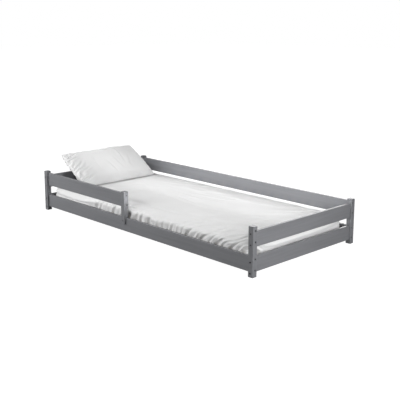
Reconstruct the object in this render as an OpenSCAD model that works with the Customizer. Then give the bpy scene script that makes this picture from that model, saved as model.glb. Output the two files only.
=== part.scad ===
// Low toddler bed: a bolted pine frame with a slatted base, one head-end guard on the
// entry side, a mattress under a thin coverlet and a pillow leaning on the head board.
// Millimetres. Origin on the floor under the middle of the frame. +X points to the foot
// end, +Y to the wall side, +Z up, and the entry side faces -Y.

/* [Frame] */
// Overall length, outer post face to outer post face
bed_l = 2080; // [1700:10:2200]
// Overall width, outer post face to outer post face
bed_w = 960; // [800:10:1100]
// Height of the posts
post_h = 292; // [286:1:400]
// Side of the square posts
post = 35; // [34:1:50]
// Radius on the long edges of posts and boards
edge_r = 2; // [0.5:0.5:3]

/* [Boards] */
// Height of every board
board_h = 92; // [88:1:96]
// Thickness of every board
board_t = 18; // [17:1:20]
// Floor to the underside of the four lower rails
rail_z = 26; // [15:1:30]
// Floor to the underside of the upper side boards
side_board_z = 188; // [184:1:192]
// Floor to the underside of the upper end boards
end_board_z = 170; // [166:1:174]
// Step from the posts' outer faces to the side boards
side_recess = 12; // [9:1:13]
// Step from the posts' outer faces to the end boards
end_recess = 10; // [8:1:12]

/* [Entry guard] */
// Length of the guard from the head end's outer face to its post's far face
guard_l = 953; // [600:1:1200]
// Floor to the end of the guard post's tongue in front of the rail
tongue_z = 76; // [70:1:84]

/* [Slatted base] */
// Number of slats
slat_count = 14; // [10:1:16]
// Width of a slat
slat_w = 70; // [50:1:80]
// Thickness of a slat
slat_t = 16; // [14:1:18]
// Height of the ledger battens under the slats' ends
ledger_h = 30; // [24:1:36]
// Width of the ledger battens
ledger_w = 25; // [22:1:30]

/* [Bedding] */
// Length of the mattress
mattress_l = 1944; // [1700:1:1960]
// Width of the mattress
mattress_w = 870; // [700:1:872]
// Thickness of the mattress
mattress_h = 95; // [80:1:120]
// Thickness of the coverlet with its filling
coverlet_t = 6; // [3:1:7]
// Width of the pillow from seam to seam
pillow_w = 668; // [400:1:720]

/* [Hidden] */
$fn = 48;
SLATS = [for (i = [1 : slat_count]) str("slat_", i)];

half_l = bed_l / 2;
half_w = bed_w / 2;
cut = 1;           // how far a cutting shape runs past the face that it cuts
PAINT = "#7a7c80"; // satin grey paint on every pine part that shows
HEAD = -1;         // end of the bed with the pillow
FOOT = 1;
FRONT = -1;        // entry side
REAR = 1;

// Inner faces and centre lines
inner_x = half_l - post;
inner_y = half_w - post;
side_y = half_w - side_recess - board_t / 2;   // middle of the long boards
end_x = half_l - end_recess - board_t / 2;     // middle of the end boards
guard_x = guard_l - half_l;                    // foot-side face of the guard post
long_l = 2 * inner_x;
cross_l = 2 * inner_y;
guard_board_l = guard_x - post + inner_x;
guard_board_x = (guard_x - post - inner_x) / 2;

// Bolts: two levels to a board, and the cross bolts sit lower so that they miss the long ones
bolt_pitch = 64;
stagger = side_board_z - end_board_z;
pair = [-bolt_pitch / 2, bolt_pitch / 2];
side_holes_z = [for (z = [rail_z, side_board_z]) for (p = pair) z + board_h / 2 + p];
end_holes_z = [for (z = side_holes_z) z - stagger];
rail_bolts = [for (p = pair) board_h / 2 + p];             // heights within a board
end_rail_bolts = [board_h / 2 + bolt_pitch / 2 - stagger];
side_dowel_at = board_h / 2;
end_rail_dowel_at = side_dowel_at - 22;
bolt_r = 3;
bolt_hole_r = 3.3;
bolt_shank = 60;
head_r = 5;
head_h = 6;
hex_af = 5;
hex_depth = 3;
sink_r = 5.5;
sink_depth = 8;
end_hole_depth = 40;
nut_r = 5;
nut_l = 14;
nut_hole_r = 5.1;
nut_hole_depth = 16.2;
nut_inset = 27;
nut_bore_r = 3.05;
slot_w = 1.2;
slot_depth = 1.5;
dowel_r = 3.95;
dowel_hole_r = 4;
dowel_l = 28;
dowel_hole_depth = 15;

// Connector through the guard post's tongue and the rail
lap_x = guard_x - post / 2;
lap_z = (tongue_z + rail_z + board_h) / 2;
sleeve_r = 4;
sleeve_hole_r = 4.1;
sleeve_l = 12;
flange_r = 7;
flange_t = 2;
lap_gap = 0.2;     // between the guard post and the rail that it laps

// Base
ledger_top = 75;
ledger_l = long_l - 20;
ledger_y = side_y - board_t / 2 - ledger_w / 2;
ledger_screw_count = 7;
ledger_screw_pitch = 300;
ledger_screw_l = 36;
slat_l = cross_l;
slat_row = long_l - 30;
slat_pitch = (slat_row - slat_w) / (slat_count - 1);
slat_screw_y = ledger_y - 1;
slat_screw_l = 30;
screw_r = 1.9;
screw_head_r = 4;
screw_head_h = 2.6;
screw_gap = 0.05;
strap_w = 25;
strap_t = 1.5;
strap_y = 260;
staple_w = 12;
staple_wire = 1.2;
staple_leg = 9;
staple_gap = 0.05;

// Bedding
soft_gap = 0.3;    // clearance round each loose piece
mattress_x = -17.5;
mattress_z = ledger_top + slat_t + soft_gap;
mattress_edge = 18;
mattress_corner = 45;
hem_z = mattress_z + 4;
bed_top = mattress_z + mattress_h + soft_gap + coverlet_t;

// The pillow's section: seam at the bottom, a heel on the bed, a back that leans on the head
// board's upper edge, and the top seam over the board
board_top = end_board_z + board_h;
board_face_x = end_x - board_t / 2;
pillow_seam_r = 6;
pillow_heel_r = 26;
pillow_back_r = 10;
pillow_bottom_x = -748;
pillow_top = [-1029, 383];
pillow_heel_x = [-930, -830];
pillow_crown_r = 40;
pillow_crown = [-868, 282];

// ---- shapes that repeat ----

module eased_square(a, b, r = edge_r) {
    square([a - 2 * r, b], center = true);
    square([a, b - 2 * r], center = true);
    for (x = [-1, 1])
        for (y = [-1, 1])
            translate([x * (a / 2 - r), y * (b / 2 - r)])
                circle(r);
}

// A board along X, its outer face at -Y and its underside at z = 0
module bar(length, thickness = board_t, height = board_h) {
    translate([-length / 2, 0, height / 2])
        rotate([90, 0, 90])
            linear_extrude(length)
                eased_square(thickness, height);
}

module along_x(r, length) {
    rotate([0, 90, 0])
        cylinder(r = r, h = length);
}

// A board drilled in both ends for bolts, cross dowels and wooden dowels. The cross dowels go in
// from the inner face, or from the outer one where nut_side is -1
module board(length, bolts, dowel, nut_side = 1) {
    difference() {
        bar(length);
        for (end = [0, 180])
            rotate([0, 0, end])
                translate([length / 2, 0, 0]) {
                    for (z = bolts)
                        translate([-end_hole_depth, 0, z])
                            along_x(bolt_hole_r, end_hole_depth + cut);
                    translate([-dowel_hole_depth, 0, dowel])
                        along_x(dowel_hole_r, dowel_hole_depth + cut);
                }
        for (end = [-1, 1])
            for (z = bolts)
                translate([end * (length / 2 - nut_inset), nut_side * (board_t / 2 + cut), z])
                    rotate([nut_side * 90, 0, 0])
                        cylinder(r = nut_hole_r, h = nut_hole_depth + cut);
    }
}

// Places a board along one of the four sides, with its inner face towards the middle
module on_side(side) {
    rotate([0, 0, side == REAR ? 180 : 0])
        translate([0, -side_y, 0])
            children();
}

module on_end(end) {
    rotate([0, 0, end == FOOT ? 90 : -90])
        translate([0, -end_x, 0])
            children();
}

// A post with its bolt holes, counterbored from outside, and its dowel holes
module corner_post(end, side) {
    color(PAINT)
        mirror([end == HEAD ? 1 : 0, 0, 0])
            mirror([0, side == FRONT ? 1 : 0, 0])
                difference() {
                    translate([half_l - post / 2, half_w - post / 2, 0])
                        linear_extrude(post_h)
                            eased_square(post, post);
                    for (z = side_holes_z)
                        translate([inner_x - cut, side_y, z])
                            along_x(bolt_hole_r, post + 2 * cut);
                    for (z = side_holes_z)
                        translate([half_l - sink_depth, side_y, z])
                            along_x(sink_r, sink_depth + cut);
                    for (z = end_holes_z)
                        translate([end_x, inner_y - cut, z])
                            rotate([-90, 0, 0])
                                cylinder(r = bolt_hole_r, h = post + 2 * cut);
                    for (z = end_holes_z)
                        translate([end_x, half_w - sink_depth, z])
                            rotate([-90, 0, 0])
                                cylinder(r = sink_r, h = sink_depth + cut);
                    for (z = [rail_z, side_board_z])
                        translate([inner_x - cut, side_y, z + side_dowel_at])
                            along_x(dowel_hole_r, dowel_hole_depth + cut);
                    for (z = [rail_z + end_rail_dowel_at, end_board_z + side_dowel_at])
                        translate([end_x, inner_y - cut, z])
                            rotate([-90, 0, 0])
                                cylinder(r = dowel_hole_r, h = dowel_hole_depth + cut);
                }
}

// ---- frame ----

module guard_post() {
    mid_y = half_w - post / 2;
    tongue_t = side_recess - lap_gap;
    color(PAINT)
        difference() {
            translate([guard_x - post / 2, -mid_y, tongue_z])
                linear_extrude(post_h - tongue_z)
                    eased_square(post, post);
            translate([guard_x - post - cut, -half_w + tongue_t, tongue_z - cut])
                cube([post + 2 * cut, post, rail_z + board_h - tongue_z + cut]);
            for (p = pair)
                translate([guard_x - post - cut, -side_y, side_board_z + board_h / 2 + p])
                    along_x(bolt_hole_r, post + 2 * cut);
            for (p = pair)
                translate([guard_x - sink_depth, -side_y, side_board_z + board_h / 2 + p])
                    along_x(sink_r, sink_depth + cut);
            translate([guard_x - post - cut, -side_y, side_board_z + side_dowel_at])
                along_x(dowel_hole_r, dowel_hole_depth + cut);
            translate([lap_x, -half_w - cut, lap_z])
                rotate([-90, 0, 0])
                    cylinder(r = bolt_hole_r, h = side_recess + 2 * cut);
            translate([lap_x, -half_w - cut, lap_z])
                rotate([-90, 0, 0])
                    cylinder(r = sink_r, h = head_h + cut);
        }
}

module front_rail() {
    color(PAINT)
        difference() {
            on_side(FRONT)
                translate([0, 0, rail_z])
                    board(long_l, rail_bolts, side_dowel_at);
            ledger_screw_places(FRONT)
                screw_shape(ledger_screw_l, screw_gap);
            translate([lap_x, -side_y - board_t / 2 - cut, lap_z])
                rotate([-90, 0, 0])
                    cylinder(r = bolt_hole_r, h = board_t + 2 * cut);
            translate([lap_x, -side_y + board_t / 2 - sleeve_l, lap_z])
                rotate([-90, 0, 0])
                    cylinder(r = sleeve_hole_r, h = sleeve_l + cut);
        }
}

module rear_rail() {
    color(PAINT)
        difference() {
            on_side(REAR)
                translate([0, 0, rail_z])
                    board(long_l, rail_bolts, side_dowel_at);
            ledger_screw_places(REAR)
                screw_shape(ledger_screw_l, screw_gap);
        }
}

module rear_board() {
    color(PAINT)
        on_side(REAR)
            translate([0, 0, side_board_z])
                board(long_l, rail_bolts, side_dowel_at, -1);
}

module guard_board() {
    color(PAINT)
        on_side(FRONT)
            translate([guard_board_x, 0, side_board_z])
                board(guard_board_l, rail_bolts, side_dowel_at);
}

module end_board(end) {
    color(PAINT)
        on_end(end)
            translate([0, 0, end_board_z])
                board(cross_l, rail_bolts, side_dowel_at);
}

module end_rail(end) {
    color(PAINT)
        on_end(end)
            translate([0, 0, rail_z])
                board(cross_l, end_rail_bolts, end_rail_dowel_at);
}

// ---- slatted base ----

// A countersunk wood screw pointing down, its head flush with z = 0
module screw_shape(length, gap = 0) {
    translate([0, 0, -length])
        cylinder(r = screw_r + gap, h = length);
    translate([0, 0, -screw_head_h])
        cylinder(r1 = screw_r + gap, r2 = screw_head_r + gap, h = screw_head_h);
}

// Places its child at each ledger screw, pointing outwards from the ledger's inner face
module ledger_screw_places(side) {
    for (i = [0 : ledger_screw_count - 1])
        translate([
            (i - (ledger_screw_count - 1) / 2) * ledger_screw_pitch,
            side * (ledger_y - ledger_w / 2),
            ledger_top - ledger_h / 2
        ])
            rotate([side * 90, 0, 0])
                children();
}

// Places its child at each screw that holds the first and last slats down
module slat_screw_places() {
    for (x = [-1, 1])
        for (y = [-1, 1])
            translate([x * (slat_row - slat_w) / 2, y * slat_screw_y, ledger_top + slat_t])
                children();
}

module ledger(side) {
    color("burlywood")
        difference() {
            translate([0, side * ledger_y, ledger_top - ledger_h])
                bar(ledger_l, ledger_w, ledger_h);
            ledger_screw_places(side)
                screw_shape(ledger_screw_l, screw_gap);
            slat_screw_places()
                screw_shape(slat_screw_l, screw_gap);
        }
}

function slat_x(i) = -slat_row / 2 + slat_w / 2 + (i - 1) * slat_pitch;

// Places its child under each crossing of a slat and a strap
module staple_places(first = 1, last = slat_count) {
    for (i = [first : last])
        for (y = [-strap_y, strap_y])
            translate([slat_x(i), y, ledger_top - strap_t])
                children();
}

module staple_legs(gap = 0, below = 0) {
    wide = staple_wire + 2 * gap;
    for (y = [-1, 1])
        translate([-wide / 2, y * (staple_w - staple_wire) / 2 - wide / 2, -below])
            cube([wide, wide, below + staple_leg + gap]);
}

module slat(i) {
    color("burlywood")
        difference() {
            translate([slat_x(i), 0, ledger_top])
                rotate([0, 0, 90])
                    bar(slat_l, slat_w, slat_t);
            if (i == 1 || i == slat_count)
                slat_screw_places()
                    screw_shape(slat_screw_l, screw_gap);
            staple_places(i, i)
                staple_legs(staple_gap, cut);
        }
}

module slat_straps() {
    color("gainsboro")
        difference() {
            for (y = [-strap_y, strap_y])
                translate([-slat_row / 2, y - strap_w / 2, ledger_top - strap_t])
                    cube([slat_row, strap_w, strap_t]);
            staple_places()
                staple_legs(staple_gap, cut);
        }
}

module strap_staples() {
    color("silver")
        staple_places() {
            staple_legs();
            translate([-staple_wire / 2, -staple_w / 2, -staple_wire])
                cube([staple_wire, staple_w, staple_wire]);
        }
}

// ---- fasteners ----

// Bolt along +X with its head's outer face at x = 0 and its shank towards -X
module bolt(shank = bolt_shank) {
    difference() {
        union() {
            translate([-head_h, 0, 0])
                along_x(head_r, head_h);
            translate([-head_h - shank, 0, 0])
                along_x(bolt_r, shank + head_h / 2);
        }
        translate([-hex_depth, 0, 0])
            rotate([0, 90, 0])
                cylinder(d = hex_af / cos(30), h = hex_depth + cut, $fn = 6);
    }
}

// Places its child at each bolt along the bed: at a post's outer face, with +X pointing out of
// it. $slot_y is 1 or -1, the local Y direction that the cross dowel's slot faces: the middle of
// the bed, or the wall for the rear board
module side_bolt_places() {
    for (end = [HEAD, FOOT])
        for (side = [FRONT, REAR])
            for (z = side_holes_z)
                if (side == REAR || end == HEAD || z < side_board_z)
                    translate([end * half_l, side * side_y, z])
                        rotate([0, 0, end == FOOT ? 0 : 180])
                            let ($slot_y = side == REAR && z > side_board_z ? side * end : -side * end)
                                children();
    for (p = pair)
        translate([guard_x, -side_y, side_board_z + board_h / 2 + p])
            let ($slot_y = 1)
                children();
}

// The same for the bolts across the bed; the lowest hole of each post stays empty
module end_bolt_places() {
    for (end = [HEAD, FOOT])
        for (side = [FRONT, REAR])
            for (z = end_holes_z)
                if (z > rail_z)
                    translate([end * end_x, side * half_w, z])
                        rotate([0, 0, side * 90])
                            let ($slot_y = side * end)
                                children();
}

module side_bolts() {
    color("dimgray")
        side_bolt_places()
            translate([head_h - sink_depth, 0, 0])
                bolt();
}

module end_bolts() {
    color("dimgray")
        end_bolt_places()
            translate([head_h - sink_depth, 0, 0])
                bolt();
}

// Cross dowel on a bolt's axis, its slotted end at the face that it goes in from
module barrel_nut() {
    translate([-post - nut_inset, 0, 0])
        difference() {
            rotate([90, 0, 0])
                cylinder(r = nut_r, h = nut_l, center = true);
            translate([-nut_r - cut, 0, 0])
                along_x(nut_bore_r, 2 * (nut_r + cut));
            translate([0, $slot_y * nut_l / 2, 0])
                cube([2 * (nut_r + cut), 2 * slot_depth, slot_w], center = true);
        }
}

module side_barrel_nuts() {
    color("silver")
        side_bolt_places()
            barrel_nut();
}

module end_barrel_nuts() {
    color("silver")
        end_bolt_places()
            barrel_nut();
}

module side_dowels() {
    color("tan") {
        for (end = [HEAD, FOOT])
            for (side = [FRONT, REAR])
                for (z = [rail_z, side_board_z])
                    if (side == REAR || end == HEAD || z == rail_z)
                        translate([end * inner_x - dowel_l / 2, side * side_y, z + side_dowel_at])
                            along_x(dowel_r, dowel_l);
        translate([guard_x - post - dowel_l / 2, -side_y, side_board_z + side_dowel_at])
            along_x(dowel_r, dowel_l);
    }
}

module end_dowels() {
    color("tan")
        for (end = [HEAD, FOOT])
            for (side = [FRONT, REAR])
                for (z = [rail_z + end_rail_dowel_at, end_board_z + side_dowel_at])
                    translate([end * end_x, side * inner_y - dowel_l / 2, z])
                        rotate([-90, 0, 0])
                            cylinder(r = dowel_r, h = dowel_l);
}

// Short bolt through the guard post's tongue
module lap_bolt() {
    color("dimgray")
        translate([lap_x, -half_w, lap_z])
            rotate([0, 0, -90])
                bolt(shank = side_recess + board_t - head_h - 2);
}

// Flanged sleeve nut that the lap bolt runs into, from the rail's inner face
module lap_sleeve_nut() {
    color("silver")
        translate([lap_x, -side_y + board_t / 2, lap_z])
            rotate([-90, 0, 0])
                difference() {
                    union() {
                        translate([0, 0, -sleeve_l])
                            cylinder(r = sleeve_r, h = sleeve_l + flange_t / 2);
                        cylinder(r = flange_r, h = flange_t);
                    }
                    translate([0, 0, -sleeve_l - cut])
                        cylinder(r = nut_bore_r, h = sleeve_l + cut);
                }
}

module ledger_screws() {
    color("goldenrod")
        for (side = [FRONT, REAR])
            ledger_screw_places(side)
                screw_shape(ledger_screw_l);
}

module slat_screws() {
    color("goldenrod")
        slat_screw_places()
            screw_shape(slat_screw_l);
}

// ---- bedding ----

// Slab with rounded corners and a softened upper edge, in three steps of [inset, height below top]
module soft_slab(l, w, h, r) {
    hull()
        for (step = [[0, mattress_edge], [mattress_edge / 4, mattress_edge / 3], [mattress_edge, 0]])
            linear_extrude(h - step[1])
                eased_square(l - 2 * step[0], w - 2 * step[0], r - step[0]);
}

module mattress() {
    color("whitesmoke")
        translate([mattress_x, 0, mattress_z])
            soft_slab(mattress_l, mattress_w, mattress_h, mattress_corner);
}

module coverlet() {
    grow = 2 * (soft_gap + coverlet_t);
    color("white")
        difference() {
            translate([mattress_x, 0, hem_z])
                soft_slab(mattress_l + grow, mattress_w + grow, bed_top - hem_z,
                          mattress_corner + grow / 2);
            translate([mattress_x, 0, hem_z - cut])
                soft_slab(mattress_l + 2 * soft_gap, mattress_w + 2 * soft_gap,
                          bed_top - coverlet_t - hem_z + cut, mattress_corner + soft_gap);
        }
}

// A row of two balls across the bed, for the pillow's hull
module across(x, z, r, inset) {
    for (y = [-1, 1])
        translate([x, y * (pillow_w / 2 - inset - r), z])
            sphere(r, $fn = 24);
}

module pillow() {
    rest_z = bed_top + soft_gap;
    back_x = -board_face_x + soft_gap + pillow_back_r;
    color("white")
        hull() {
            across(pillow_bottom_x, rest_z + pillow_seam_r, pillow_seam_r, 0);
            across(pillow_heel_x[0], rest_z + pillow_heel_r, pillow_heel_r, 40);
            across(pillow_heel_x[1], rest_z + pillow_heel_r, pillow_heel_r, 30);
            across(back_x, board_top + pillow_back_r / 2, pillow_back_r, 50);
            across(pillow_crown[0], pillow_crown[1], pillow_crown_r, 60);
            across(pillow_top[0], pillow_top[1], pillow_seam_r, 0);
        }
}

// ---- what is drawn ----

corner_post(HEAD, FRONT);  // head_front_post
corner_post(HEAD, REAR);  // head_rear_post
corner_post(FOOT, FRONT);  // foot_front_post
corner_post(FOOT, REAR);  // foot_rear_post
guard_post();
front_rail();
rear_rail();
rear_board();
guard_board();
end_board(HEAD);  // head_board
end_board(FOOT);  // foot_board
end_rail(HEAD);  // head_rail
end_rail(FOOT);  // foot_rail
ledger(FRONT);  // front_ledger
ledger(REAR);  // rear_ledger
for (i = [1 : slat_count])
    slat(i);
slat_straps();
strap_staples();
side_bolts();
end_bolts();
side_barrel_nuts();
end_barrel_nuts();
side_dowels();
end_dowels();
lap_bolt();
lap_sleeve_nut();
ledger_screws();
slat_screws();
mattress();
coverlet();
pillow();
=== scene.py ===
"""Looks of the low toddler bed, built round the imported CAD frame.

The painted and bare pine, the fasteners and the webbing are the CAD's own nodes with procedural
materials. The mattress, the coverlet and the pillow are pieces made here, and the last two are
cloth simulations. Metres, in the CAD's frame: +X to the foot end, +Y to the wall side, +Z up.
"""

import math

import bpy
import numpy as np
from mathutils import Matrix, Vector, noise


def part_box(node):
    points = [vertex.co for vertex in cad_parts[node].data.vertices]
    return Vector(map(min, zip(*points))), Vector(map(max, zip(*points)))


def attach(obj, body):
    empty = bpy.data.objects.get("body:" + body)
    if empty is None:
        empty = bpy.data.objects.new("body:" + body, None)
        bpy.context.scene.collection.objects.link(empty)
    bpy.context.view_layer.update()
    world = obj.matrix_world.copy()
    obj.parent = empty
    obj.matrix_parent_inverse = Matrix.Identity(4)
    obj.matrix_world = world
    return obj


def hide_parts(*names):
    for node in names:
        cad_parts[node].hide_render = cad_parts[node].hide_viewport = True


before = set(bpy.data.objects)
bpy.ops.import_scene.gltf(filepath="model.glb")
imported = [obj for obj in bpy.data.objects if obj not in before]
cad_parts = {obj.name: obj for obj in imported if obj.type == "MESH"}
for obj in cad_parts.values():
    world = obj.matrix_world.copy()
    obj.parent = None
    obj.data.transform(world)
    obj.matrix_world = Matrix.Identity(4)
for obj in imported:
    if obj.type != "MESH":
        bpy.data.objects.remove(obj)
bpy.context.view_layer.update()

MM = 0.001
X, Y, Z = 0, 1, 2
SLATS = [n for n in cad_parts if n.startswith("slat_") and n[5:].isdigit()]

# Places read from the frame
mattress_low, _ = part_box("mattress")
cover_low, cover_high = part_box("coverlet")
pillow_low, pillow_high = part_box("pillow")
_, head_board_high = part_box("head_board")
guard_post_low, guard_post_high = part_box("guard_post")


# ---- camera, light and floor ----

IMAGE = 400                      # pixels each way
FOCAL = 735.8                    # focal length in those pixels
CAMERA_AT = (3.6071, -3.3694, 1.3929)
CAMERA_TURN = 45.93              # degrees from +Y towards -X
CAMERA_DOWN = 10.74
CAMERA_ROLL = 0.21
CAMERA_SHIFT = -0.1              # the picture keeps the posts nearly upright
FLOOR_SIZE = 30.0                # half of its width
FLOOR_GLOW = 0.97                # strength of the light that the seen floor gives off
FLOOR_GREY = 0.3                 # reflectance of the floor that the light bounces off
ROOM_RADIUS = 1.3 * FLOOR_SIZE


def add_object(name, data):
    made = bpy.data.objects.new(name, data)
    bpy.context.scene.collection.objects.link(made)
    return made


def make_camera():
    camera = add_object("camera", bpy.data.cameras.new("camera"))
    sensor = camera.data.sensor_width
    camera.data.lens = FOCAL / IMAGE * sensor
    camera.data.shift_y = CAMERA_SHIFT
    turn, down = math.radians(CAMERA_TURN), math.radians(CAMERA_DOWN)
    forward = Vector((-math.sin(turn) * math.cos(down), math.cos(turn) * math.cos(down), -math.sin(down)))
    look = forward.to_track_quat("-Z", "Y").to_matrix()
    roll = Matrix.Rotation(math.radians(CAMERA_ROLL), 3, "Z")
    camera.matrix_world = Matrix.Translation(CAMERA_AT) @ (look @ roll).to_4x4()
    bpy.context.scene.camera = camera


# name: place, target, size of the lamp's rectangle, power in watts
LIGHTS = {
    "foot_side": ((2.6, -0.30, 0.7), (1.0, -0.3, 0.2), (0.3, 1.0), 26.5),
    "head_side": ((-2.8, -2.4, 1.2), (-0.8, -0.4, 0.15), (1.2, 1.2), 34),
    "front": ((-0.7, -3.6, 1.3), (0.0, -0.4, 0.15), (2.4, 1.2), 56),
    "back": ((-1.4, 3.4, 1.5), (0.0, 0.3, 0.1), (3.0, 1.4), 68),
    "over_front": ((-0.1, -0.42, 0.95), (-0.1, -0.20, 0.20), (2.3, 0.2), 4.2),
    "over_rear": ((-0.1, 0.36, 0.95), (-0.1, -0.20, 0.20), (2.3, 0.2), 0.6),
    "over_rail": ((0.1, -0.44, 0.72), (0.1, 0.45, 0.28), (2.1, 0.12), 2.0),
    "guard_end": ((0.60, -0.42, 0.42), (-0.05, -0.45, 0.26), (0.12, 0.10), 0.070),
}
# Spread in radians of the lamps that reach little more than the rear board and the guard post's end
NARROW = {"over_rail": 1.2, "guard_end": 0.3}
AMBIENT = 0.16                   # strength of the white world


def make_light():
    world = bpy.data.worlds.new("studio")
    world.use_nodes = True
    background = world.node_tree.nodes["Background"]
    background.inputs["Color"].default_value = (1, 1, 1, 1)
    background.inputs["Strength"].default_value = AMBIENT
    bpy.context.scene.world = world
    bpy.context.scene.view_settings.view_transform = "Standard"
    for name, (place, target, size, power) in LIGHTS.items():
        data = bpy.data.lights.new(name, "AREA")
        data.shape = "RECTANGLE"
        data.size, data.size_y = size
        data.energy = power
        data.spread = NARROW.get(name, math.pi)
        lamp = add_object(name, data)
        lamp.location = place
        lamp.rotation_euler = (Vector(target) - Vector(place)).to_track_quat("-Z", "Y").to_euler()
        lamp.visible_camera = False


def add_mesh(name, points, faces, mat):
    mesh = bpy.data.meshes.new(name)
    mesh.from_pydata(points, [], faces)
    mesh.materials.append(mat)
    return add_object(name, mesh)


def plane(name, size, height, mat):
    """A level square, twice size wide."""
    corners = [(-size, -size, height), (size, -size, height), (size, size, height), (-size, size, height)]
    return add_mesh(name, corners, [(0, 1, 2, 3)], mat)


def drum(name, radius, mat, sides=32):
    """A closed round room, as high each way as it is wide."""
    around = [(radius * math.cos(2 * math.pi * i / sides), radius * math.sin(2 * math.pi * i / sides))
              for i in range(sides)]
    points = [(x, y, z) for z in (-radius, radius) for x, y in around]
    walls = [(i, (i + 1) % sides, sides + (i + 1) % sides, sides + i) for i in range(sides)]
    ends = [tuple(range(sides)), tuple(range(2 * sides - 1, sides - 1, -1))]
    return add_mesh(name, points, walls + ends, mat)


def glowing(name, base, glow):
    """A matt white that also shines a little, as an overexposed backdrop does."""
    mat, tree, shader = new_material(name)
    shader.inputs["Base Color"].default_value = (base, base, base, 1)
    shader.inputs["Roughness"].default_value = 0.9
    shader.inputs["Specular IOR Level"].default_value = 0.0
    shader.inputs["Emission Color"].default_value = (1, 1, 1, 1)
    shader.inputs["Emission Strength"].default_value = glow
    return mat


def seen_by(thing, camera=False, bounce=False):
    """Which rays meet a stage piece: the camera's, or those that carry light between surfaces."""
    thing.visible_camera = camera
    for ray in ("diffuse", "glossy", "transmission", "shadow"):
        setattr(thing, "visible_" + ray, bounce)


def make_floor():
    """A blown-out white floor and room for the camera, and a mid grey floor for the light to bounce off."""
    floor = plane("floor", FLOOR_SIZE, 0, glowing("floor_white", 0.25, FLOOR_GLOW))
    seen_by(floor, camera=True)
    shade = plane("floor_shade", FLOOR_SIZE, -1 * MM, glowing("floor_grey", FLOOR_GREY, 0.0))
    seen_by(shade, bounce=True)
    room = drum("room", ROOM_RADIUS, glowing("room_white", 0.0, 1.0))
    seen_by(room, camera=True)


# ---- materials ----

def new_material(name):
    """A new material, its node tree and its shader."""
    mat = bpy.data.materials.new(name)
    mat.use_nodes = True
    return mat, mat.node_tree, mat.node_tree.nodes["Principled BSDF"]


class Tree:
    """Short calls for the nodes that the materials share."""

    def __init__(self, name, roughness=0.5):
        self.mat, self.tree, self.shader = new_material(name)
        self.shader.inputs["Roughness"].default_value = roughness
        self.where = self.node("ShaderNodeTexCoord").outputs["Object"]

    def node(self, kind, **values):
        made = self.tree.nodes.new(kind)
        for key, value in values.items():
            setattr(made, key, value)
        return made

    def link(self, source, target):
        self.tree.links.new(source, target)

    def stretched(self, scale):
        """The object's own coordinates, scaled along each axis."""
        mapping = self.node("ShaderNodeMapping")
        mapping.inputs["Scale"].default_value = scale
        self.link(self.where, mapping.inputs["Vector"])
        return mapping.outputs["Vector"]

    def noise(self, scale, detail=4.0, roughness=0.55, distortion=0.0):
        texture = self.node("ShaderNodeTexNoise")
        texture.inputs["Scale"].default_value = 1.0
        texture.inputs["Detail"].default_value = detail
        texture.inputs["Roughness"].default_value = roughness
        texture.inputs["Distortion"].default_value = distortion
        self.link(self.stretched(scale), texture.inputs["Vector"])
        return texture.outputs["Fac"]

    def wave(self, scale, direction="X", distortion=0.0, detail=2.0):
        texture = self.node("ShaderNodeTexWave", bands_direction=direction)
        texture.inputs["Scale"].default_value = 1.0
        texture.inputs["Distortion"].default_value = distortion
        texture.inputs["Detail"].default_value = detail
        self.link(self.stretched(scale), texture.inputs["Vector"])
        return texture.outputs["Fac"]

    def ramp(self, value, stops):
        ramp = self.node("ShaderNodeValToRGB")
        elements = ramp.color_ramp.elements
        while len(elements) < len(stops):
            elements.new(0.5)
        for element, (place, colour) in zip(elements, stops):
            element.position = place
            element.color = (*colour, 1)
        self.link(value, ramp.inputs["Fac"])
        return ramp.outputs["Color"]

    def math(self, operation, a, b):
        made = self.node("ShaderNodeMath", operation=operation)
        for socket, value in zip(made.inputs, (a, b)):
            if isinstance(value, (int, float)):
                socket.default_value = value
            else:
                self.link(value, socket)
        return made.outputs[0]

    def span(self, value, low, high):
        """value from 0 to 1 turned into low to high."""
        made = self.node("ShaderNodeMapRange")
        made.inputs["To Min"].default_value = low
        made.inputs["To Max"].default_value = high
        self.link(value, made.inputs["Value"])
        return made.outputs["Result"]

    def blend(self, share, a, b):
        """Colour a turned into colour b as share goes from 0 to 1."""
        mix = self.node("ShaderNodeMix", data_type="RGBA", blend_type="MIX")
        for socket, value in ((mix.inputs[0], share), (mix.inputs[6], a), (mix.inputs[7], b)):
            if isinstance(value, (int, float)):
                socket.default_value = value
            elif isinstance(value, tuple):
                socket.default_value = (*value, 1)
            else:
                self.link(value, socket)
        return mix.outputs[2]

    def bump(self, height, strength, distance):
        bump = self.node("ShaderNodeBump")
        bump.inputs["Strength"].default_value = strength
        bump.inputs["Distance"].default_value = distance
        self.link(height, bump.inputs["Height"])
        self.link(bump.outputs["Normal"], self.shader.inputs["Normal"])

    def colour(self, source):
        self.link(source, self.shader.inputs["Base Color"])

    def roughness(self, source):
        self.link(source, self.shader.inputs["Roughness"])


def along(axis, long_scale, cross_scale):
    """Texture scales for grain that runs along axis."""
    return tuple(long_scale if i == axis else cross_scale for i in range(3))


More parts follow.
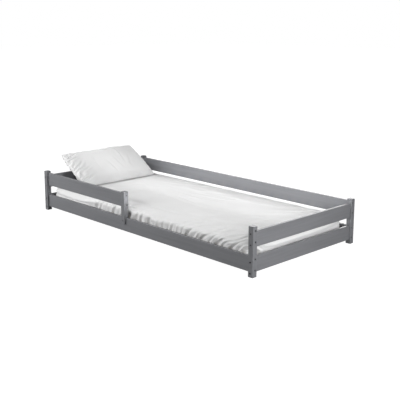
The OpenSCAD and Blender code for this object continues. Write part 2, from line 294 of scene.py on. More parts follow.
def grey_paint(axis):
    """Satin grey paint on planed pine. The grain runs along axis and shows as faint streaks."""
    t = Tree("grey_paint_" + "xyz"[axis])
    fine = t.noise(along(axis, 5, 260), detail=5, roughness=0.6)
    figure = t.noise(along(axis, 1.6, 42), detail=3, distortion=0.6)
    cloud = t.noise(along(axis, 2.2, 5), detail=2)
    grain = t.math("ADD", t.math("MULTIPLY", fine, 0.45), t.math("MULTIPLY", figure, 0.55))
    tones = [(0.30, (0.172, 0.175, 0.187)), (0.5, (0.205, 0.208, 0.221)), (0.72, (0.232, 0.236, 0.250))]
    tone = t.ramp(grain, tones)
    t.colour(t.blend(t.span(cloud, 0.0, 0.35), tone, (0.215, 0.218, 0.232)))
    t.roughness(t.span(grain, 0.36, 0.5))
    t.bump(grain, 0.35, 0.35 * MM)
    t.shader.inputs["Coat Weight"].default_value = 0.12
    t.shader.inputs["Coat Roughness"].default_value = 0.35
    return t.mat


def bare_pine(name, axis, pale, dark):
    """Planed pine with growth rings along axis and a few knots."""
    t = Tree(name)
    cross = "Y" if axis == X else "X"
    rings = t.wave(along(axis, 0.9, 13), direction=cross, distortion=5.0, detail=3)
    fine = t.noise(along(axis, 8, 420), detail=4, roughness=0.65)
    wood = t.ramp(rings, [(0.0, pale), (0.62, pale), (0.9, dark), (1.0, dark)])
    knots = t.node("ShaderNodeTexVoronoi")
    knots.inputs["Scale"].default_value = 1.0
    t.link(t.stretched(along(axis, 3.2, 6.5)), knots.inputs["Vector"])
    inside, outside = (1, 1, 1), (0, 0, 0)
    knot_tones = [(0.0, inside), (0.07, inside), (0.12, outside), (1.0, outside)]
    knot = t.ramp(knots.outputs["Distance"], knot_tones)
    knotted = t.blend(knot, wood, tuple(0.42 * c for c in dark))
    t.colour(t.blend(t.span(fine, 0.0, 0.4), knotted, tuple(0.8 * c for c in pale)))
    t.roughness(t.span(fine, 0.5, 0.68))
    t.bump(fine, 0.4, 0.2 * MM)
    return t.mat


THREAD = 0.55 * MM
SHEEN = 0.12


def cotton(name, tint):
    """Plain woven cotton: over and under threads, a few slubs and a slight unevenness of tone."""
    t = Tree(name, roughness=0.82)
    per_metre = 1 / THREAD / 6.28
    warp = t.wave((per_metre, 0, 0), direction="X")
    weft = t.wave((0, per_metre, 0), direction="Y")
    slub = t.noise((60, 900, 60), detail=2)
    cloud = t.noise((7, 7, 7), detail=3)
    weave = t.math("ADD", t.math("MULTIPLY", warp, 0.35), t.math("MULTIPLY", weft, 0.35))
    height = t.math("ADD", weave, t.math("MULTIPLY", slub, 0.5))
    t.colour(t.ramp(cloud, [(0.3, tuple(0.972 * c for c in tint)), (0.7, tint)]))
    t.roughness(t.span(slub, 0.76, 0.9))
    t.bump(height, 0.12, 0.15 * MM)
    t.shader.inputs["Sheen Weight"].default_value = SHEEN
    t.shader.inputs["Sheen Roughness"].default_value = 0.45
    t.shader.inputs["Specular IOR Level"].default_value = 0.25
    return t.mat


def ticking():
    """Pale mattress cover with a knitted face."""
    t = Tree("ticking", roughness=0.88)
    knit = t.wave((180, 0, 0), direction="X", distortion=2.0)
    cloud = t.noise((10, 10, 10))
    t.colour(t.ramp(cloud, [(0.3, (0.70, 0.70, 0.69)), (0.7, (0.78, 0.78, 0.77))]))
    t.bump(t.math("ADD", knit, cloud), 0.2, 0.3 * MM)
    t.shader.inputs["Sheen Weight"].default_value = 0.2
    return t.mat


def metal(name, tint, roughness, metallic=1.0):
    """Plated or blackened steel with fine tool marks."""
    t = Tree(name)
    marks = t.noise((900, 900, 900), detail=3)
    stain = t.noise((120, 120, 120), detail=2)
    t.colour(t.ramp(stain, [(0.3, tuple(0.8 * c for c in tint)), (0.7, tint)]))
    t.roughness(t.span(marks, roughness * 0.8, roughness * 1.25))
    t.bump(marks, 0.2, 0.05 * MM)
    t.shader.inputs["Metallic"].default_value = metallic
    return t.mat


def webbing():
    """Woven ribbon with ribs across it and a selvedge's tighter rows."""
    t = Tree("webbing", roughness=0.8)
    ribs = t.wave((250, 0, 0), direction="X")
    rows = t.wave((0, 180, 0), direction="Y")
    weave = t.math("MULTIPLY", ribs, rows)
    t.colour(t.ramp(weave, [(0.0, (0.52, 0.50, 0.46)), (1.0, (0.74, 0.72, 0.68))]))
    t.bump(weave, 0.5, 0.4 * MM)
    return t.mat


def dress(nodes, mat):
    """Gives CAD nodes a material."""
    for name in nodes:
        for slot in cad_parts[name].material_slots:
            slot.material = mat


def ease_edges(names, width):
    """Softens the cut ends and hole mouths of CAD nodes; their meshes stay as they are."""
    for name in names:
        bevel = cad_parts[name].modifiers.new("eased", "BEVEL")
        bevel.width = width
        bevel.segments = 2
        bevel.limit_method = "ANGLE"
        bevel.angle_limit = math.radians(50)


def dress_frame():
    """Materials of every CAD node that stays."""
    paint = [grey_paint(axis) for axis in (X, Y, Z)]
    posts = ["head_front_post", "head_rear_post", "foot_front_post", "foot_rear_post", "guard_post"]
    dress(["front_rail", "rear_rail", "rear_board", "guard_board"], paint[X])
    dress(["head_board", "foot_board", "head_rail", "foot_rail"], paint[Y])
    dress(posts, paint[Z])
    ease_edges(posts, 0.9 * MM)
    pale, dark = (0.76, 0.62, 0.44), (0.60, 0.43, 0.25)
    dress(["front_ledger", "rear_ledger"], bare_pine("pine_x", X, pale, dark))
    dress(SLATS, bare_pine("pine_y", Y, pale, dark))
    beech = (0.66, 0.46, 0.28), (0.56, 0.36, 0.2)
    dress(["side_dowels"], bare_pine("beech_x", X, *beech))
    dress(["end_dowels"], bare_pine("beech_y", Y, *beech))
    black, zinc, yellow = (0.13, 0.131, 0.135), (0.62, 0.63, 0.64), (0.74, 0.58, 0.28)
    dress(["side_bolts", "end_bolts", "lap_bolt"], metal("black_steel", black, 0.45, 0.7))
    nuts = ["side_barrel_nuts", "end_barrel_nuts", "lap_sleeve_nut"]
    dress(nuts + ["strap_staples"], metal("zinc", zinc, 0.35))
    dress(["ledger_screws", "slat_screws"], metal("yellow_zinc", yellow, 0.32))
    dress(["slat_straps"], webbing())


# ---- meshes ----

def grid_faces(rows, columns):
    """Quads of a grid whose points run column by column within each row."""
    start = np.arange(rows - 1)[:, None] * columns + np.arange(columns - 1)[None, :]
    start = start.ravel()
    return np.stack([start, start + 1, start + columns + 1, start + columns], 1).tolist()


def new_piece(name, points, faces, mat):
    """A smooth piece of the object from a table of points and lists of point numbers."""
    piece = add_mesh(name, [tuple(p) for p in points], faces, mat)
    piece.data.update()
    piece.data.shade_smooth()
    return piece


def points_of(piece):
    """The piece's points as a table of x, y, z."""
    co = np.zeros(len(piece.data.vertices) * 3)
    piece.data.vertices.foreach_get("co", co)
    return co.reshape(-1, 3)


def move_points(piece, points):
    piece.data.vertices.foreach_set("co", np.asarray(points).ravel())
    piece.data.update()


def bake(piece):
    """Replaces the piece's mesh with what its modifiers make of it now."""
    graph = bpy.context.evaluated_depsgraph_get()
    made = bpy.data.meshes.new_from_object(piece.evaluated_get(graph))
    piece.modifiers.clear()
    piece.shape_key_clear()
    piece.data = made
    made.shade_smooth()


def step(values, low, high):
    """0 below low, 1 above high, smooth between."""
    t = np.clip((values - low) / (high - low), 0, 1)
    return t * t * (3 - 2 * t)


def field(x, y, z, size):
    """Smooth noise from -1 to 1, with features of about size = (along x, along y) metres."""
    return np.array([noise.noise(Vector((a / size[0], b / size[1], z))) for a, b in zip(x, y)])


# ---- mattress and coverlet ----

LIFT = 0.5 * MM                        # between pieces that rest on each other
FOOT_END = cover_high.x + 26 * MM      # the soft foam presses out towards the foot rail
HALF_X = (FOOT_END - cover_low.x) / 2
HALF_Y = (cover_high.y - cover_low.y) / 2
MIDDLE_X = (FOOT_END + cover_low.x) / 2
BED_TOP = cover_high.z
ROUND_OUT = 0.110                      # the soft edge: its width seen from above
ROUND_DOWN = 0.052                     # and how far it falls
ROUND_POWER = 2.8                      # 2 rounds it as an ellipse, more makes it squarer
HEM_DEPTH = BED_TOP - cover_low.z      # how far the coverlet's sides hang
COVER_OUT = 3 * MM                     # coverlet's thickness and the room under it
SHEET_THICK = 2.2 * MM
TOP_ROOM = 2 * MM                      # depth of the hollows that the cover's folds press into the foam
FRONT_ROOM = 20 * MM
FRONT_LIMIT = (-0.4435, -0.4480)       # how far out the cover may stand by the guard post, and elsewhere


def edge_profile():
    """The rounded edge as (distance over the cloth, distance out, drop, lean of the surface)."""
    turn = np.linspace(0, math.pi / 2, 90)
    out = ROUND_OUT * np.sin(turn) ** (2 / ROUND_POWER)
    drop = ROUND_DOWN * (1 - np.cos(turn) ** (2 / ROUND_POWER))
    over = np.concatenate([[0], np.cumsum(np.hypot(np.diff(out), np.diff(drop)))])
    lean = np.arctan2(np.gradient(drop), np.gradient(out))
    return over, out, drop, lean


PROFILE = edge_profile()
ROUND_OVER = PROFILE[0][-1]


def wrapped(s, t, inset=0.0):
    """Points and normals where a flat cover, s along the bed and t across it, lies on the mattress."""
    over, outs, drops, leans = PROFILE
    flat_x, flat_y = HALF_X - ROUND_OUT, HALF_Y - ROUND_OUT
    px = np.maximum(np.abs(s) - flat_x, 0)
    py = np.maximum(np.abs(t) - flat_y, 0)
    reach = (px ** 4 + py ** 4) ** 0.25
    out = np.interp(reach, over, outs)
    drop = np.interp(reach, over, drops) + np.maximum(reach - ROUND_OVER, 0)
    lean = np.interp(reach, over, leans)
    away = np.stack([np.sign(s) * px, np.sign(t) * py], 1) / np.maximum(reach, 1e-9)[:, None]
    x = np.sign(s) * np.minimum(np.abs(s), flat_x) + away[:, 0] * out
    y = np.sign(t) * np.minimum(np.abs(t), flat_y) + away[:, 1] * out
    level = away / np.maximum(np.linalg.norm(away, axis=1), 1e-9)[:, None]
    normals = np.concatenate([level * np.sin(lean)[:, None], np.cos(lean)[:, None]], 1)
    points = np.stack([MIDDLE_X + x, y, BED_TOP - drop], 1) - inset * normals
    return points, normals, drop


def valley_room(points):
    """How far the foam gives way under the folds: most where the cover is pushed behind the front rail."""
    front = 1 - step(points[:, Y], 0.085 - HALF_Y, 0.150 - HALF_Y)
    return TOP_ROOM + (FRONT_ROOM - TOP_ROOM) * front


TUFT_PITCH = 0.13                      # dimples below the mattress
TUFT_DEPTH = 1.2 * MM
MATTRESS_GRID = (150, 76)              # points along and across
MATTRESS_RINGS = 14                    # rings of points from its lower edge to the middle below


def around_grid(columns, rows):
    """Numbers of the points on a grid's border, in order."""
    last = (rows - 1) * columns
    return ([i for i in range(columns)]
            + [j * columns + columns - 1 for j in range(1, rows)]
            + [last + i for i in range(columns - 2, -1, -1)]
            + [j * columns for j in range(rows - 2, 0, -1)])


def close_below(points, faces, rim, bottom):
    """Closes the shell with dimpled rings that shrink towards its middle."""
    centre = np.array([MIDDLE_X, 0, bottom])
    first, count = len(points), len(rim)
    below = []
    previous = rim
    for k in range(1, MATTRESS_RINGS + 1):
        share = 1 - k / (MATTRESS_RINGS + 1)
        ring = centre + (points[rim] - centre) * [share, share, 1]
        tufts = np.cos(ring[:, X] * 2 * math.pi / TUFT_PITCH) * np.cos(ring[:, Y] * 2 * math.pi / TUFT_PITCH)
        ring[:, Z] = bottom + TUFT_DEPTH * np.maximum(tufts, 0) * min(1, k / 2)
        below.append(ring)
        numbers = [first + (k - 1) * count + i for i in range(count)]
        faces += [[previous[(i + 1) % count], previous[i], numbers[i], numbers[(i + 1) % count]]
                  for i in range(count)]
        previous = numbers
    points = np.concatenate([points, *below, centre[None, :]])
    hub = len(points) - 1
    faces += [[previous[(i + 1) % count], previous[i], hub] for i in range(count)]
    return points, faces


def make_mattress(mat):
    """Foam mattress with a soft upper edge, hollows under the cover's folds and dimples below."""
    columns, rows = MATTRESS_GRID
    flat_side = ROUND_OVER - ROUND_OUT + BED_TOP - ROUND_DOWN - mattress_low.z
    s_max, t_max = HALF_X + flat_side, HALF_Y + flat_side
    s, t = np.meshgrid(np.linspace(-s_max, s_max, columns), np.linspace(-t_max, t_max, rows))
    points, normals, _ = wrapped(s.ravel(), t.ravel(), COVER_OUT)
    points -= normals * valley_room(points)[:, None]
    bottom = mattress_low.z + LIFT
    points[:, Z] = np.maximum(points[:, Z], bottom)
    rim = around_grid(columns, rows)
    points, faces = close_below(points, grid_faces(rows, columns), rim, bottom)
    piece = new_piece("mattress_body", points, faces, mat)
    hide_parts("mattress")
    return piece


# Soft creases on the coverlet: (height, width, points) in metres. Each is a ridge with a hollow beside it
CREASES = (
    (8.8 * MM, 0.015, ((-0.46, -0.19), (-0.33, -0.11), (-0.23, -0.05), (-0.09, -0.04), (0.07, -0.07))),
    (7.3 * MM, 0.016, ((-0.02, -0.05), (0.15, -0.09), (0.34, -0.09), (0.47, -0.05), (0.60, 0.03))),
    (4.7 * MM, 0.020, ((-0.16, 0.18), (0.01, 0.25), (0.17, 0.28))),
    (6.2 * MM, 0.016, ((0.04, 0.16), (0.29, 0.19), (0.46, 0.23))),
    (5.2 * MM, 0.018, ((-0.10, 0.11), (0.24, 0.15), (0.50, 0.24), (0.66, 0.28))),
    (4.2 * MM, 0.018, ((-0.30, 0.02), (-0.12, 0.05), (0.10, 0.03), (0.30, 0.06))),
    (4.7 * MM, 0.018, ((-0.66, -0.16), (-0.61, 0.0), (-0.58, 0.16))),
    (5.7 * MM, 0.018, ((0.38, -0.32), (0.55, -0.16), (0.70, 0.03))),
    (6.8 * MM, 0.018, ((0.46, -0.40), (0.60, -0.22), (0.74, -0.03), (0.84, 0.14))),
    (8.3 * MM, 0.017, ((0.57, -0.41), (0.72, -0.25), (0.90, -0.06))),
    (8.3 * MM, 0.016, ((0.68, -0.42), (0.82, -0.27), (0.96, -0.13))),
    (7.8 * MM, 0.016, ((0.78, -0.42), (0.88, -0.31), (0.98, -0.23))),
    (5.2 * MM, 0.020, ((0.55, -0.05), (0.70, 0.12), (0.84, 0.30))),
)
# Where the coverlet is pushed down behind the front rail: (place along the rail, share of TUCK_DEPTH)
TUCKS = ((-0.44, 0.7), (-0.26, 0.9), (-0.16, 0.7), (-0.09, 0.8), (-0.02, 0.8), (0.03, 0.7), (0.11, 1.0),
         (0.33, 0.3), (0.47, 0.9), (0.60, 1.0), (0.735, 1.0), (0.85, 0.6), (0.95, 0.5))
TUCK_DEPTH = 24 * MM
TUCK_WIDTH = 0.010
TUCK_SIDES = (3.0 * MM, 0.021, 0.012)  # the swells beside a tuck: height, distance from it, width
GATHER_FROM = -0.66                    # the cover is nearly smooth from the head end to here
HEAD_GATHER = 0.12                     # share of the folds' height that is left there
FRONT_GATHER = 7.5 * MM                # height of the folds along the front
FOLD_PITCH = 0.050
FOLD_REACH = 0.060                     # how far in over the top they run
FOOT_REACH = 0.10                      # and how much further near the foot
FOOTWARD = (0.25, 0.75)                # where along the bed the head's pattern turns into the foot's
LOW_LEAN = 0.025                       # how far the folds' lean moves them at the rail's top, near the head
WALL_GATHER, WALL_PITCH = 2.0 * MM, 0.13
END_GATHER, END_PITCH = 1.0 * MM, 0.15
SWELL = 1.6 * MM                       # slow unevenness of the top
WRINKLE = 6.0 * MM                     # height of the fine ridges on top
LENGTHWISE = (15, 1.3, (0.50, 0.100))  # their direction in degrees, seed and size
SLANTING = (45, 5.9, (0.34, 0.080))    # the same near the foot
WRINKLED = (-0.78, -0.50)              # where the ridges begin, in front of the pillow
MOST_UP = 16 * MM                      # how far the folds may stand above the bed's top
MOST_MOVED = 10 * MM                   # how far the simulation may move a point
SLACK = 1.7                            # height of the folds in the cloth's rest shape, against the start's
STIFF = 6.0                            # its stiffness in bending
SETTLE_FRAMES = 12
SETTLE = {
    "quality": 6, "mass": 0.18, "tension_stiffness": 22, "compression_stiffness": 22,
    "shear_stiffness": 8, "bending_stiffness": STIFF, "air_damping": 2.0,
    "vertex_group_mass": "tucked",
}
COVER_COLUMNS = 290                    # points along the cover
COVER_ROWS = (38, 64)                  # and across it: in the strip along the front, and in the rest
FRONT_STRIP = 0.24
END_ROOM, WALL_ROOM, SLAT_ROOM = 8 * MM, 1.6 * MM, 2 * MM   # how near the cover may come to the frame
POST_REACH = 0.045                     # half of the length that FRONT_LIMIT's first value holds for


def crease_height(x, y, creases):
    """Height of long soft creases at the points (x, y) of a nearly flat cloth."""
    total = np.zeros_like(x)
    for height, width, line in creases:
        best, side, fade = np.full_like(x, 1e9), np.zeros_like(x), np.zeros_like(x)
        for i, (a, b) in enumerate(zip(line, line[1:])):
            a, b = np.array(a), np.array(b)
            run = b - a
            share = np.clip(((x - a[0]) * run[0] + (y - a[1]) * run[1]) / (run @ run), 0, 1)
            dx, dy = x - a[0] - share * run[0], y - a[1] - share * run[1]
            near = np.hypot(dx, dy)
            closer = near < best
            best = np.where(closer, near, best)
            side = np.where(closer, (run[0] * dy - run[1] * dx) / np.hypot(*run), side)
            fade = np.where(closer, np.sin(math.pi * (i + share) / (len(line) - 1)) ** 0.8, fade)
        beyond = np.exp(-((best - np.abs(side)) / width) ** 2)
        u = side / width
        total += height * fade * beyond * (np.exp(-u ** 2) - 0.8 * np.exp(-((u - 1.6) / 0.8) ** 2))
    return total


def ridges(x, y, turn, seed, size):
    """Thin crooked ridges, from 0 to 1, turned from +X towards +Y, of about size = (length, pitch)."""
    c, s = math.cos(math.radians(turn)), math.sin(math.radians(turn))
    x, y = x * c + y * s, y * c - x * s
    bend_x, bend_y = field(x, y, seed + 20, (0.3, 0.3)), field(x, y, seed + 30, (0.3, 0.3))
    return (1 - np.abs(field(x + 0.10 * bend_x, y + 0.06 * bend_y, seed, size))) ** 2.5


def push_tucks(height, x, inland, drop, footward, upright):
    """Adds the places where the cover is pushed down behind the rail, with the swells beside them."""
    swell, apart, width = TUCK_SIDES
    for k, (tuck, share) in enumerate(TUCKS):
        off = x - tuck - LOW_LEAN * (1 + 2 * footward) + 0.15 * inland * math.sin(2.4 * k)
        height -= TUCK_DEPTH * share * np.exp(-(off / TUCK_WIDTH) ** 2) * step(drop, 0.020, 0.060)
        beside = np.exp(-((off - apart) / width) ** 2) + np.exp(-((off + apart) / width) ** 2)
        height += swell * share * beside * (1 - 0.7 * upright)


def front_folds(x, y, drop):
    """Folds down the front, leaning to the foot as they rise. Near the foot they run on over the top."""
    inland = y + HALF_Y
    slow, wander = field(x, y, 7.7, (0.45, 0.45)), field(x, y, 3.1, (0.12, 0.4))
    footward = step(x, *FOOTWARD)
    reach = FOLD_REACH + 0.020 * slow + FOOT_REACH * footward
    gathered = HEAD_GATHER + (1 - HEAD_GATHER) * step(x, GATHER_FROM, GATHER_FROM + 0.3)
    shown = (1 - step(inland, 0.3 * reach, reach)) * gathered
    x = x - (0.3 + 0.5 * footward) * inland + (0.4 + 0.8 * footward) * np.minimum(drop, 0.08)
    phase = 2 * math.pi * (x / FOLD_PITCH + 0.8 * wander)
    folds = 0.6 * np.cos(phase) + 0.4 * np.cos(1.73 * phase + 2.0 + 3 * slow)
    upright = step(drop, 0.005, 0.03)
    height = FRONT_GATHER * (0.7 + 0.3 * slow) * (folds - 0.75 * upright)
    push_tucks(height, x, inland, drop, footward, upright)
    return shown * height


def fold_height(points, drop):
    """How far the cloth stands off the mattress: gathers along its sides and a slow swell on top."""
    x, y = points[:, X], points[:, Y]
    wander = field(x, y, 3.1, (0.14, 0.3))
    wall = step(y, HALF_Y - 0.07, HALF_Y) * WALL_GATHER
    wall *= np.cos(2 * math.pi * (x / WALL_PITCH + 0.8 * wander))
    ends = step(np.abs(x - MIDDLE_X), HALF_X - 0.06, HALF_X)
    ends *= END_GATHER * np.cos(2 * math.pi * (y / END_PITCH + 0.8 * wander))
    swell = SWELL * field(x, y, 7.7, (0.40, 0.22)) * (1 - step(drop, 0.0, 0.03))
    return front_folds(x, y, drop) + wall + ends + swell


def press_creases(piece):
    """Creases and fine wrinkles on the coverlet's top, pressed into both faces of the settled cloth."""
    points = points_of(piece)
    x, y, drop = points[:, X], points[:, Y], np.maximum(BED_TOP - points[:, Z], 0)
    foot = step(x, 0.35, 0.70)
    calm = step(x, *WRINKLED) * (1 - 0.8 * step(np.abs(y), HALF_Y - 0.08, HALF_Y))
    lengthwise, slanting = ridges(x, y, *LENGTHWISE), ridges(x, y, *SLANTING)
    top = WRINKLE * (lengthwise * (1 - foot) + 1.3 * slanting * foot) * calm
    top += crease_height(x, y, CREASES)
    points[:, Z] += np.maximum(top, -TOP_ROOM) * (1 - step(drop, 0.01, 0.04))
    move_points(piece, keep_in_frame(points))


def keep_in_frame(points):
    """Holds the cloth off the rails, the boards, the slats and the pillow."""
    by_post = np.abs(points[:, X] - (guard_post_low.x + guard_post_high.x) / 2) < POST_REACH
    front = np.where(by_post, FRONT_LIMIT[0], FRONT_LIMIT[1])
    points[:, Y] = np.clip(points[:, Y], front, HALF_Y + WALL_ROOM)
    points[:, X] = np.clip(points[:, X], cover_low.x - END_ROOM, FOOT_END + END_ROOM)
    points[:, Z] = np.maximum(points[:, Z], mattress_low.z + SLAT_ROOM)
    clear = step(points[:, X], pillow_high.x - 0.02, pillow_high.x + 0.05)
    points[:, Z] = np.minimum(points[:, Z], BED_TOP + clear * MOST_UP)
    return points


def hold(piece, name, weights):
    """A vertex group of the points with a weight above nought."""
    group = piece.vertex_groups.new(name=name)
    for level in np.unique(np.round(weights, 2)):
        if level > 0:
            chosen = np.nonzero(np.round(weights, 2) == level)[0]
            group.add([int(i) for i in chosen], float(level), "REPLACE")
    return group


def run_cloth(piece, frames, settings, collide=False, gravity=1.0):
    """Runs Blender's Cloth on the piece for a number of frames and keeps the result."""
    cloth = piece.modifiers.new("cloth", "CLOTH")
    for key, value in settings.items():
        setattr(cloth.settings, key, value)
    cloth.settings.effector_weights.gravity = gravity
    cloth.collision_settings.use_collision = collide
    cloth.collision_settings.use_self_collision = False
    cloth.collision_settings.distance_min = 1.5 * MM
    cloth.point_cache.frame_start, cloth.point_cache.frame_end = 1, frames
    for number in range(1, frames + 1):
        bpy.context.scene.frame_set(number)
    graph = bpy.context.evaluated_depsgraph_get()
    solved = piece.evaluated_get(graph)
    result = np.array([v.co for v in solved.data.vertices])
    piece.modifiers.remove(cloth)
    piece.shape_key_clear()
    move_points(piece, result)
    bpy.context.scene.frame_set(1)


def settle(piece, mattress, laid, slack, drop):
    """Lets the cover sink onto the mattress under its weight, with its hem held."""
    piece.shape_key_add(name="laid")
    rest = piece.shape_key_add(name="slack")
    rest.data.foreach_set("co", slack.ravel())
    hold(piece, "tucked", step(drop, HEM_DEPTH - 0.03, HEM_DEPTH - 0.012))
    solid = mattress.modifiers.new("solid", "COLLISION")
    mattress.collision.thickness_outer = 1 * MM
    slack_key = piece.data.shape_keys.key_blocks["slack"]
    run_cloth(piece, SETTLE_FRAMES, {**SETTLE, "rest_shape_key": slack_key}, collide=True, gravity=0.7)
    mattress.modifiers.remove(solid)
    moved = points_of(piece) - laid
    far = np.linalg.norm(moved, axis=1)
    moved *= (np.minimum(far, MOST_MOVED) / np.maximum(far, 1e-9))[:, None]
    move_points(piece, keep_in_frame(laid + moved))


def make_coverlet(mat, mattress):
    """A thin cover over the mattress, tucked in all round, with its slack gathered at the front."""
    flat_side = ROUND_OVER - ROUND_OUT + HEM_DEPTH - ROUND_DOWN - 1 * MM
    s_max, t_max = HALF_X + flat_side, HALF_Y + flat_side
    strip = FRONT_STRIP - t_max
    across = np.concatenate([np.linspace(-t_max, strip, COVER_ROWS[0], endpoint=False),
                             np.linspace(strip, t_max, COVER_ROWS[1])])
    s, t = np.meshgrid(np.linspace(-s_max, s_max, COVER_COLUMNS), across)
    base, normals, drop = wrapped(s.ravel(), t.ravel())
    height = fold_height(base, drop)
    laid = keep_in_frame(base + normals * np.maximum(height, -valley_room(base))[:, None])
    slack = base + normals * (SLACK * height)[:, None]
    piece = new_piece("coverlet_sheet", laid, grid_faces(len(across), COVER_COLUMNS), mat)
    settle(piece, mattress, laid, slack, drop)
    thick = piece.modifiers.new("thick", "SOLIDIFY")
    thick.thickness = SHEET_THICK
    thick.offset = -1
    smooth = piece.modifiers.new("smooth", "SUBSURF")
    smooth.levels = smooth.render_levels = 1
    bake(piece)
    press_creases(piece)
    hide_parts("coverlet")
    return piece


# ---- pillow ----

PANEL = (0.40, 0.70)                   # cut size of its two panels between the corners, before filling
BOW = (0.034, 0.011)                   # how far the middles of the long and short edges are cut outwards
FILLING = 0.0165                       # cubic metres
WIDER = 12 * MM                        # its soft corners reach past the middle of its sides
BOTTOM_SEAM = Vector((-0.727, BED_TOP + 3 * MM))     # (x, z) of the seams
TOP_SEAM = Vector((-1.045, 0.394))
FRONT_SWELL = 0.044                    # how far the panels stand off the plane of the seams
FLATTER = 0.75                         # under 1 makes the front panel's middle flatter
BACK_SWELL = 0.100
OPEN_SIDE_MORE = 2.0
PUCKER = 4.2 * MM                      # height of the gathers that the seams pull
LONG_PITCH = 0.034                     # between the gathers on the long edges
SHORT_PITCH = (0.038, 0.026)           # on the short edges, at the open side and the other
SHORT_REACH = (0.095, 0.045)           # how far those run in
PILLOW_GRID = (56, 100)                # points up each panel and along it
START_DOME = 0.02                      # height of each panel before it is filled
FILL_FRAMES = 24
FILL = {
    "quality": 7, "mass": 0.2, "tension_stiffness": 40, "compression_stiffness": 40,
    "shear_stiffness": 20, "bending_stiffness": 0.8, "air_damping": 4.0,
    "use_pressure": True, "uniform_pressure_force": 1.2,
    "use_pressure_volume": True, "target_volume": FILLING,
}


def filled_pillow(mat):
    """Two panels sewn round their edge and filled, lying flat, with each point's place on its panel."""
    rows, columns = PILLOW_GRID
    u, v = np.meshgrid(np.linspace(-0.5, 0.5, columns), np.linspace(-0.5, 0.5, rows))
    u, v = u.ravel(), v.ravel()
    dome = ((1 - (2 * u) ** 2) * (1 - (2 * v) ** 2)) ** 0.5
    x = v * (PANEL[0] + 2 * BOW[0] * (1 - (2 * u) ** 2) * 0.5)
    y = u * (PANEL[1] + 2 * BOW[1] * (1 - (2 * v) ** 2))
    flat = np.stack([x, y, np.zeros_like(u)], 1)
    front = flat + np.outer(dome * START_DOME, (0, 0, 1))
    edge = dome < 1e-9
    numbers = np.where(edge, np.arange(len(u)), -1)
    inner = np.nonzero(~edge)[0]
    numbers[inner] = len(u) + np.arange(len(inner))
    back = flat[inner] - np.outer(dome[inner] * START_DOME, (0, 0, 1))
    faces = [list(reversed(f)) for f in grid_faces(rows, columns)]
    mirrored = [[int(numbers[i]) for i in reversed(f)] for f in faces]
    piece = new_piece("pillow_case", np.concatenate([front, back]), faces + mirrored, mat)
    run_cloth(piece, FILL_FRAMES, FILL, gravity=0.0)
    return piece, np.concatenate([u, u[inner]]), np.concatenate([v, v[inner]])


# Creases on its front, written as the coverlet's: metres along its width and up its face
PILLOW_CREASES = (
    (3.9 * MM, 0.012, ((0.118, 0.174), (0.125, 0.080), (0.111, -0.022))),
    (3.0 * MM, 0.012, ((0.200, 0.060), (0.170, 0.000), (0.148, -0.050), (0.150, -0.120))),
    (3.3 * MM, 0.012, ((-0.045, 0.030), (-0.035, -0.020), (-0.020, -0.090), (-0.014, -0.155))),
    (2.4 * MM, 0.012, ((0.040, 0.050), (0.050, -0.030), (0.070, -0.120))),
    (3.3 * MM, 0.014, ((-0.130, 0.100), (-0.150, 0.000), (-0.140, -0.100))),
)


def puckers(u, v):
    """Gathers that run in from the seams, longest and strongest on the short edge at the open side."""
    in_short = (0.5 - np.abs(u)) * PANEL[1]
    in_long = (0.5 - np.abs(v)) * PANEL[0]
    wander = field(u, v, 2.2, (0.21, 0.16))
    unlike = 0.5 + 0.5 * field(u, v, 9.4, (0.11, 0.09))
    open_side = u < 0
    pitch = np.where(open_side, *SHORT_PITCH)
    reach = np.where(open_side, *SHORT_REACH) + 0.05 * unlike
    short = np.cos(2 * math.pi * ((v * PANEL[0] - 0.6 * in_short) / pitch + 0.9 * wander))
    long = np.cos(2 * math.pi * (u * PANEL[1] / LONG_PITCH + 0.9 * wander))
    fade_short = np.clip(in_short / 0.012, 0, 1) * np.exp(-(in_short / reach) ** 2)
    fade_long = np.clip(in_long / 0.012, 0, 1) * np.exp(-(in_long / 0.030) ** 2)
    from_short = np.where(open_side, OPEN_SIDE_MORE, 1.0) * step(in_long, 0.015, 0.07) * fade_short * short
    return PUCKER * (from_short * (0.4 + unlike) + 0.35 * fade_long * long * unlike)


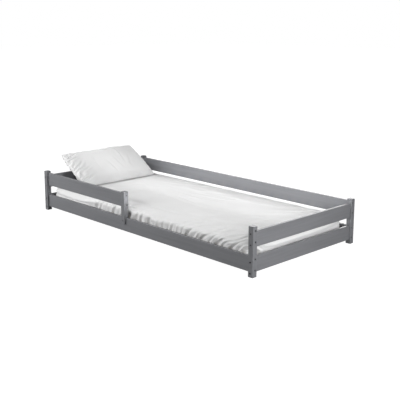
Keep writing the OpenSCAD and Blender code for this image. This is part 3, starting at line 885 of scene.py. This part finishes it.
def rest_on_board(x, y, z):
    """Presses the points out of the bed and the head board, the nearer way."""
    board_face = head_board_high.x + 1 * MM
    board_top = head_board_high.z + 1 * MM
    z = np.maximum(z, BED_TOP + LIFT)
    into = (x < board_face) & (z < board_top)
    sideways = into & (board_face - x < board_top - z)
    return np.where(sideways, board_face, x), y, np.where(into & ~sideways, board_top, z)


def set_pillow(piece, u, v):
    """Leans the filled pillow on the head board: seams where they are seen, its back on board and bed."""
    points = points_of(piece)
    low, high = points.min(0), points.max(0)
    middle = (low + high) / 2
    up = (points[:, X] - middle[X]) / (high[X] - low[X]) + 0.5
    side = (points[:, Y] - middle[Y]) / (high[Y] - low[Y])
    off = points[:, Z] - middle[Z]
    front, back = off / max(high[Z] - middle[Z], 1e-6), off / max(middle[Z] - low[Z], 1e-6)
    off = np.where(off > 0, np.abs(front) ** FLATTER * FRONT_SWELL, back * BACK_SWELL)
    off += puckers(u, v) * np.where(off >= 0, 1, -1)
    off += crease_height(u * PANEL[1], v * PANEL[0], PILLOW_CREASES) * (off > 0)
    lean = TOP_SEAM - BOTTOM_SEAM
    normal = Vector((-lean.y, lean.x)).normalized()
    if normal.y < 0:
        normal = -normal
    width = pillow_high.y - pillow_low.y + WIDER
    x = BOTTOM_SEAM.x + lean.x * up + normal.x * off
    z = BOTTOM_SEAM.y + lean.y * up + normal.y * off
    y = side * width
    move_points(piece, np.stack(rest_on_board(x, y, z), 1))


def make_pillow(mat):
    """One soft pillow, leaned on the head board."""
    piece, u, v = filled_pillow(mat)
    set_pillow(piece, u, v)
    smooth = piece.modifiers.new("smooth", "SUBSURF")
    smooth.levels = smooth.render_levels = 1
    bake(piece)
    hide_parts("pillow")
    return piece


# ---- the scene ----

make_camera()
make_light()
make_floor()
dress_frame()
mattress = make_mattress(ticking())
coverlet = make_coverlet(cotton("white_cotton", (0.84, 0.84, 0.84)), mattress)
pillow = make_pillow(cotton("pillow_cotton", (0.82, 0.82, 0.82)))
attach(mattress, "bedding")
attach(coverlet, "bedding")
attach(pillow, "pillow_body")
